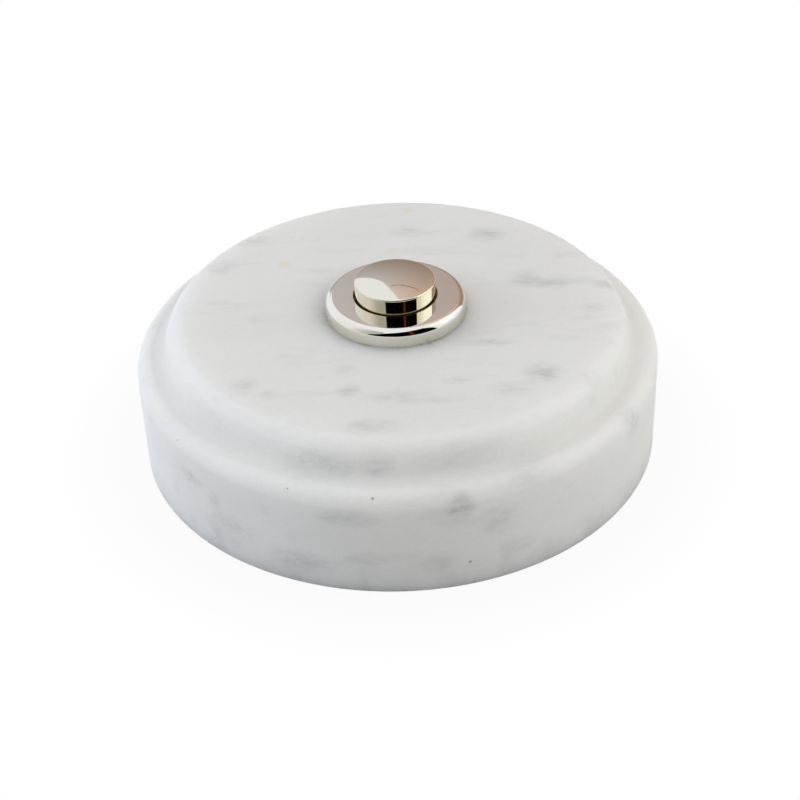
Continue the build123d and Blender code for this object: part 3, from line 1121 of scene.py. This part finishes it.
class BELLPUSH_OT_turn_inserts(bpy.types.Operator):
    """Turn the two fixing inserts, thread their bores and knurl their bands"""

    bl_idname = "bellpush.turn_inserts"
    bl_label = "Turn the fixing inserts"

    def execute(self, context):
        works = context.scene.bell_push.works
        low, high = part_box("fixing_insert_left")
        centre = centre_of("fixing_insert_left")
        outer = radius_of("fixing_insert_left")
        waist = outer - works.insert_waist
        bore = bore_of("fixing_insert_left")
        thread = bore + works.insert_thread
        lathe = Lathe("knurled_insert_left", thread, low.z, works.insert_columns, centre)
        lathe.through(
            (outer, low.z),
            (outer, low.z + works.insert_band),
            (waist, low.z + works.insert_band),
            (waist, high.z - works.insert_band),
            (outer, high.z - works.insert_band),
            (outer, high.z),
            (thread, high.z),
        )
        turns = int((high.z - low.z) / works.insert_pitch)
        pitch = (high.z - low.z) / turns
        for turn in range(turns, 0, -1):
            lathe.to(bore, low.z + (turn - 0.5) * pitch)
            lathe.to(thread, low.z + (turn - 1) * pitch)
        lathe.merge()
        self.knurl(lathe, outer, works)
        dress_pair(lathe.done(), "fixing_insert", FACETED_EDGES)
        return {"FINISHED"}

    @staticmethod
    def knurl(lathe, outer, works):
        """Draws every other column of the outer bands inwards."""
        bpy.ops.mesh.select_mode(type="VERT")
        bpy.ops.mesh.select_all(action="DESELECT")
        mesh = bmesh.from_edit_mesh(lathe.piece.data)
        column = 2 * math.pi / works.insert_columns
        for point in mesh.verts:
            x, y = point.co.x - lathe.centre[0], point.co.y - lathe.centre[1]
            if abs(math.hypot(x, y) - outer) < MERGE and round(math.atan2(y, x) / column) % 2:
                point.select_set(True)
        bmesh.update_edit_mesh(lathe.piece.data)
        inwards = (outer - works.insert_knurl) / outer
        bpy.ops.transform.resize(value=(inwards, inwards, 1), center_override=(*lathe.centre, 0.0))


class BELLPUSH_OT_finish_switch(bpy.types.Operator):
    """Give the switch's own pieces their materials"""

    bl_idname = "bellpush.finish_switch"
    bl_label = "Finish the switch"

    nodes = (
        "stem",
        "stem_bush",
        "stem_clip",
        "guide_plate",
        "switch_cup",
        "cup_circlip",
        "contact_post_left",
        "contact_post_right",
    )

    def execute(self, context):
        for node in self.nodes:
            materials = frame["nodes"][node].data.materials
            materials.clear()
            materials.append(finish_of(node))
        return {"FINISHED"}


def bend(start, corner, end, steps=6):
    """Points along a curve that leaves one place for a corner and comes in to another from it."""
    start, corner, end = Vector(start), Vector(corner), Vector(end)
    shares = [step / steps for step in range(steps + 1)]
    return [tuple(start.lerp(corner, t).lerp(corner.lerp(end, t), t)) for t in shares]


# Cards seen only in reflections. Corners are degrees round from straight behind, and degrees up.
BACK_WALL = (
    (-28, -4),
    (54, -4),
    (54, 62),
    (14, 62),
    *bend((-2.6, 34), (-5.2, 29.1), (-9, 29.1)),
    (-18, 27),
)
WARM_SIDE = ((54, 12), (118, 12), (118, 55), (54, 55))
LEFT_SIDE = ((206, 0), (285, 0), (285, 60), (206, 60))
CAMERA_SIDE = ((228, 2), (207, 34), (207, 40), (116, 61), (116, 0))
RED_STRIP = ((158, 8), (158, 60), (152.4, 60), (152.4, 8))
RED_GLOW = ((194, 3), (194, 14), (184, 14), (184, 3))
HAIRLINE = (
    *bend((-1, 35.8), (1.9, 34.8), (6, 38)),
    *bend((6, 38.3), (1.9, 35.1), (-1, 36.1)),
)

# How far away the cards hang, in metres
WALL_AWAY = 1.3
STRIP_AWAY = 1.25
LEFT_AWAY = 1.6
# Colours of the plain cards
DARK = (0.0015, 0.001, 0.0005)
BROWN = (0.20, 0.10, 0.08)
RED = (0.13, 0.03, 0.008)
DULL_RED = (0.10, 0.035, 0.02)


def direction(azimuth, elevation):
    """Unit vector towards a place in the studio, in degrees round from straight behind and degrees up."""
    a, e = math.radians(azimuth), math.radians(elevation)
    return Vector((math.sin(a) * math.cos(e), math.cos(a) * math.cos(e), math.sin(e)))


def emitter(name, colour):
    """A glowing material. Its colour is plain, or a function of the place."""
    material, place = new_material(name)
    glow = place.node("ShaderNodeEmission", None, {"Color": colour(place) if callable(colour) else colour})
    place.node("ShaderNodeOutputMaterial", None, {"Surface": glow})
    return material


def towards_back(place):
    """From minus one on the camera's side to one straight behind."""
    return place.part("Y") / place.out()


def left_side_colour(place):
    """Pale, and darker towards the camera."""
    near, far = (0.56, 0.55, 0.48), (1.0, 0.94, 0.91)
    return towards_back(place).ramp(-0.75, -0.1).between(near, far)


def warm_side_colour(place):
    """Bright and warm, and darker towards the camera."""
    near, far = (1.05, 1.0, 0.8), (1.5, 1.47, 1.3)
    return towards_back(place).ramp(-0.42, 0.1).between(near, far)


def back_wall_colour(place):
    """Taupe low down, warming to pink and paling higher up, cooler to the left and browner to the right."""
    out = place.out()
    elevation = (place.part("Z") / out).math("ARCTANGENT") / (math.pi / 2)
    stops = (
        (0.12, (0.52, 0.46, 0.45)),
        (0.23, (0.36, 0.265, 0.235)),
        (0.356, (0.543, 0.453, 0.45)),
        (0.438, (0.744, 0.569, 0.554)),
        (0.53, (0.82, 0.70, 0.68)),
        (0.68, (1.0, 1.0, 1.0)),
    )
    height = elevation.node("ShaderNodeValToRGB", {"stops": stops}, {"Fac": elevation})
    left, right = (1.146, 1.30, 1.29), (0.92, 0.82, 0.68)
    start, breadth = -0.1, 0.215
    side = (place.part("X") / out - start) / breadth
    return height.vector("MULTIPLY", side.between(left, right))


def card(name, corners, distance, material):
    """A flat card across the studio, hung about the button's crown and seen only in reflections."""
    middle = sum((direction(*corner) for corner in corners), Vector()).normalized()
    deselect()
    bpy.ops.mesh.primitive_circle_add(vertices=len(corners), radius=distance, fill_type="NGON")
    piece = added(name)
    bpy.ops.object.mode_set(mode="EDIT")
    mesh = bmesh.from_edit_mesh(piece.data)
    for point, corner in zip(mesh.verts, corners):
        ray = direction(*corner)
        point.co = ray * distance / ray.dot(middle)
    bmesh.update_edit_mesh(piece.data)
    bpy.ops.object.mode_set(mode="OBJECT")
    piece.data.materials.append(material)
    piece.location.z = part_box("button")[1].z
    for rays in ("camera", "diffuse", "shadow", "transmission", "volume_scatter"):
        setattr(piece, f"visible_{rays}", False)


class BELLPUSH_OT_set_stage(bpy.types.Operator):
    """Lay the floor, hang the lamps and reflection cards, and set up the camera"""

    bl_idname = "bellpush.set_stage"
    bl_label = "Set the stage"

    def execute(self, context):
        stage = context.scene.bell_push.stage
        self.lay_floor(stage)
        self.light_room(context.scene, stage)
        self.hang_lamp("left_lamp", stage.left_place, stage.left_size, stage.left_power, stage.cool)
        self.hang_lamp("right_lamp", stage.right_place, stage.right_size, stage.right_power, stage.warm)
        self.hang_lamp("front_lamp", stage.front_place, stage.front_size, stage.front_power, stage.warm)
        self.hang_lamp("back_lamp", stage.back_place, stage.back_size, stage.back_power, stage.neutral)
        self.hang_cards()
        self.aim_camera(context.scene, stage)
        context.scene.view_settings.view_transform = "Standard"
        return {"FINISHED"}

    @staticmethod
    def seen(place):
        """One for rays that show the studio itself: from the camera, a mirror or glass."""
        rays = place.node("ShaderNodeLightPath", output="Is Camera Ray")
        for kind in ("Glossy", "Transmission"):
            rays = rays.math("MAXIMUM", place.node("ShaderNodeLightPath", output=f"Is {kind} Ray"))
        return rays

    def lay_floor(self, stage):
        """A floor that lights as grey but looks white, apart from a little shadow near the object."""
        deselect()
        bpy.ops.mesh.primitive_plane_add(size=stage.floor_size)
        floor = added("floor")
        material, place = new_material("floor")
        seen = self.seen(place)
        edge = radius_of("marble_base") / MM
        near = place.out().ramp(edge, edge + stage.shadow_reach / MM, stage.shadow, 0.0)
        matt = place.node("ShaderNodeBsdfDiffuse", None, {"Color": stage.floor})
        white = place.node("ShaderNodeEmission", None, {"Color": (1.0, 1.0, 1.0)})
        both = place.node("ShaderNodeMixShader", None, {0: seen * (1.0 - near), 1: matt, 2: white})
        place.node("ShaderNodeOutputMaterial", None, {"Surface": both})
        floor.data.materials.append(material)

    def light_room(self, scene, stage):
        """A white surround that gives less light than it shows."""
        world = bpy.data.worlds.new("studio")
        world.use_nodes = True
        world.node_tree.nodes.clear()
        scene.world = world
        tree = Wire(world.node_tree)
        seen = self.seen(tree)
        strength = stage.ambient + seen * (1.0 - stage.ambient)
        light = tree.node("ShaderNodeBackground", None, {"Color": (1.0, 1.0, 1.0), "Strength": strength})
        tree.node("ShaderNodeOutputWorld", None, {"Surface": light})

    @staticmethod
    def hang_lamp(name, location, size, watts, colour):
        """A square lamp turned to the object, which reflections and the camera don't show."""
        deselect()
        bpy.ops.object.light_add(type="AREA", location=location)
        lamp = bpy.context.object
        lamp.name = name
        lamp.rotation_euler = Vector(location).to_track_quat("Z", "Y").to_euler()
        lamp.data.size = size
        lamp.data.energy = watts
        lamp.data.color = colour
        lamp.visible_glossy = False
        lamp.visible_camera = False

    @staticmethod
    def hang_cards():
        """The cards that the metal mirrors."""
        card("back_wall", BACK_WALL, WALL_AWAY, emitter("warm_wall", back_wall_colour))
        card("hairline", HAIRLINE, STRIP_AWAY, emitter("brown_line", BROWN))
        card("camera_side", CAMERA_SIDE, WALL_AWAY, emitter("dark_card", DARK))
        card("warm_side", WARM_SIDE, WALL_AWAY, emitter("warm_side", warm_side_colour))
        card("left_side", LEFT_SIDE, LEFT_AWAY, emitter("left_side", left_side_colour))
        card("red_strip", RED_STRIP, STRIP_AWAY, emitter("red_strip", RED))
        card("red_glow", RED_GLOW, STRIP_AWAY, emitter("red_glow", DULL_RED))

    @staticmethod
    def aim_camera(scene, stage):
        """The camera on its elevation, turned a little about its own line of sight."""
        deselect()
        bpy.ops.object.camera_add()
        camera = bpy.context.object
        camera.data.lens = stage.lens
        aim = Vector((stage.aim_x, 0.0, stage.aim_z))
        back = Vector((0.0, -math.cos(stage.elevation), math.sin(stage.elevation)))
        turn = Matrix.Rotation(math.pi / 2 - stage.elevation, 4, "X") @ Matrix.Rotation(stage.roll, 4, "Z")
        camera.matrix_world = Matrix.Translation(aim + back * stage.distance) @ turn
        scene.camera = camera


class BELLPUSH_PT_builder(bpy.types.Panel):
    """Lists the steps that build the bell push"""

    bl_label = "Bell push"
    bl_idname = "BELLPUSH_PT_builder"
    bl_space_type = "VIEW_3D"
    bl_region_type = "UI"
    bl_category = "Bell push"

    def draw(self, context):
        for step in STEPS:
            self.layout.operator(step.bl_idname)


SETTINGS = (StoneSettings, BezelSettings, ButtonSettings, WorksSettings, StageSettings, BellPushSettings)
STEPS = (
    BELLPUSH_OT_turn_stone,
    BELLPUSH_OT_turn_bezel,
    BELLPUSH_OT_turn_button,
    BELLPUSH_OT_wind_spring,
    BELLPUSH_OT_cut_nut,
    BELLPUSH_OT_press_washers,
    BELLPUSH_OT_turn_terminals,
    BELLPUSH_OT_turn_inserts,
    BELLPUSH_OT_finish_switch,
    BELLPUSH_OT_set_stage,
)
CLASSES = (*SETTINGS, *STEPS, BELLPUSH_PT_builder)


def register():
    for cls in CLASSES:
        bpy.utils.register_class(cls)
    bpy.types.Scene.bell_push = PointerProperty(type=BellPushSettings)


def unregister():
    del bpy.types.Scene.bell_push
    for cls in reversed(CLASSES):
        bpy.utils.unregister_class(cls)


def main():
    register()
    bpy.ops.bellpush.turn_stone()
    bpy.ops.bellpush.turn_bezel()
    bpy.ops.bellpush.turn_button()
    bpy.ops.bellpush.wind_spring()
    bpy.ops.bellpush.cut_nut()
    bpy.ops.bellpush.press_washers()
    bpy.ops.bellpush.turn_terminals()
    bpy.ops.bellpush.turn_inserts()
    bpy.ops.bellpush.finish_switch()
    bpy.ops.bellpush.set_stage()


if __name__ == "__main__":
    main()
